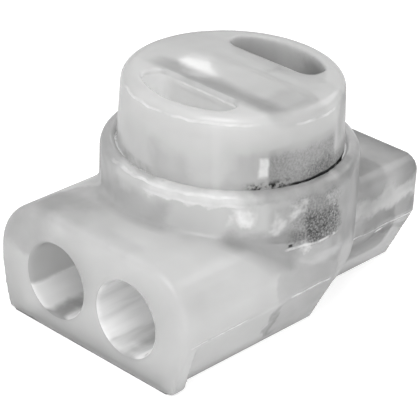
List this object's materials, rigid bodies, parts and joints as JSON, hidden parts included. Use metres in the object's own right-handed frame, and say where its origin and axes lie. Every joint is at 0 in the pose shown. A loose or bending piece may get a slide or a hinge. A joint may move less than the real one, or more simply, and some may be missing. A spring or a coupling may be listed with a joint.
{
  "type": "gel-filled crimp connector",
  "caption": "Small translucent wire connector with round wire ports, a raised press-down cap, a slotted metal contact and sealing gel.",
  "frame": {"origin": "on the barrel's axis, in the plane of the housing's flat base", "axes": "+Z towards the cap along the barrel's axis and the cap's travel, -Y out of the two front wire ports, +Y towards the tail, +X towards the web of the folded contact"},
  "size_m": [0.0082, 0.0119, 0.0076],
  "materials": {
    "housing_plastic": "translucent milky white moulding",
    "cap_plastic": "translucent milky white moulding, slightly greyer",
    "tinned_metal": "tin-plated brass sheet, dull with a fine grain",
    "gel": "clear soft sealing gel"
  },
  "bodies": {
    "housing": {"housing": "housing_plastic", "sealing_gel": "gel"},
    "plunger": {"cap": "cap_plastic", "contact_element": "tinned_metal"}
  },
  "joints": [
    {"name": "cap_press", "type": "slide", "parent": "housing", "child": "plunger", "axis": [0, 0, -1], "range_m": [0, 0.0022], "deforming": ["sealing_gel"]}
  ]
}
